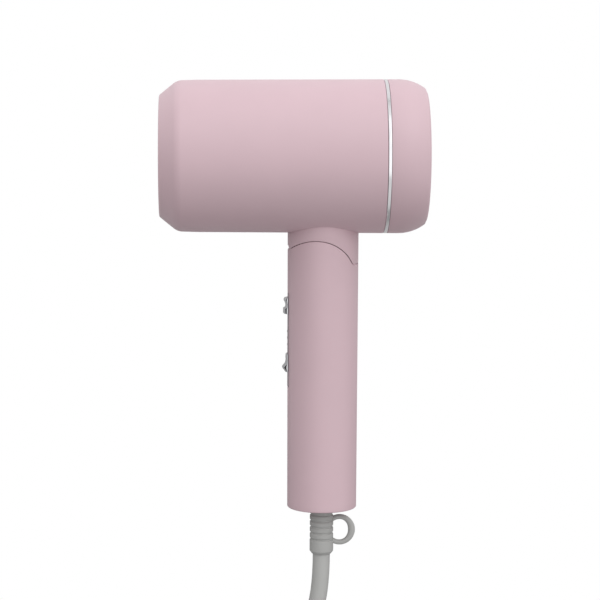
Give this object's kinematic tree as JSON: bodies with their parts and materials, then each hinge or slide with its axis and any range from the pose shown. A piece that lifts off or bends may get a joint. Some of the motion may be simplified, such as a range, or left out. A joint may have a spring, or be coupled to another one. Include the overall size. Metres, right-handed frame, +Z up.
{
  "type": "travel hair dryer",
  "caption": "Compact folding hair dryer: round barrel with a conical nose, slim round handle on a fold hinge, slide switches, ribbed cord exit with a hanging loop, coiled mains cord.",
  "frame": {"origin": "centre of the base of the dryer's box, on the surface that it lies on, without the free cord", "axes": "+X along the barrel from the outlet to the inlet, +Y from the handle's end to the barrel, +Z up"},
  "size_m": [0.1267, 0.417, 0.07],
  "materials": {
    "shell_pink": "satin soft-touch",
    "trim_chrome": "polished",
    "grille_dark": "matte",
    "collar_dark": "satin",
    "bezel_mauve": "satin",
    "knob_silver": "polished plating",
    "relief_grey": "matte",
    "cord_grey": "satin",
    "strap_grey": "woven",
    "pin_brass": "nickel-plated",
    "steel": "turned",
    "mica": "matte",
    "heater_wire": "drawn",
    "mesh_steel": "woven",
    "motor_steel": "zinc-plated",
    "fan_black": "satin",
    "duct_nylon": "matte",
    "board_green": "lacquered",
    "switch_black": "satin",
    "fuse_white": "glazed"
  },
  "bodies": {
    "handle": {"handle_half_near": "shell_pink", "handle_half_far": "shell_pink", "pivot_pin": "steel", "switch_bezel": "bezel_mauve", "upper_switch": "switch_black", "lower_switch": "switch_black", "switch_board": "board_green", "strain_relief": "relief_grey", "inner_cord": "cord_grey", "cord_clamp": "duct_nylon", "clamp_screw_left": "steel", "clamp_screw_right": "steel", "cord_lead": "cord_grey", "cord_coil": "cord_grey", "cord_tail": "cord_grey", "cord_tie": "strap_grey", "plug_body": "relief_grey", "plug_pin_left": "pin_brass", "plug_pin_right": "pin_brass"},
    "barrel": {"barrel_housing": "shell_pink", "front_ring": "collar_dark", "trim_ring": "trim_chrome", "rear_cap": "shell_pink", "outlet_grille": "grille_dark", "inlet_grille": "grille_dark", "filter_mesh": "mesh_steel", "mica_sleeve": "mica", "heater_frame": "mica", "heating_coil": "heater_wire", "thermostat": "steel", "thermal_fuse": "fuse_white", "motor_mount": "duct_nylon", "motor": "motor_steel", "motor_board": "board_green"},
    "fan_rotor": {"fan": "fan_black", "motor_shaft": "steel"},
    "upper_switch_knob": {"upper_knob": "knob_silver"},
    "lower_switch_knob": {"lower_knob": "knob_silver"}
  },
  "joints": [
    {"name": "fold", "type": "hinge", "parent": "handle", "child": "barrel", "pos_m": [0.01048, 0.0194, 0.02846], "axis": [0, -0.1183, 0.993], "range_deg": [0, 90]},
    {"name": "fan_spin", "type": "hinge", "parent": "barrel", "child": "fan_rotor", "pos_m": [0.044, 0.07432, 0.035], "axis": [1, 0, 0], "continuous": true},
    {"name": "upper_switch_slide", "type": "slide", "parent": "handle", "child": "upper_switch_knob", "axis": [0, -0.993, -0.1183], "range_m": [0, 0.004]},
    {"name": "lower_switch_slide", "type": "slide", "parent": "handle", "child": "lower_switch_knob", "axis": [0, -0.993, -0.1183], "range_m": [0, 0.006]}
  ]
}
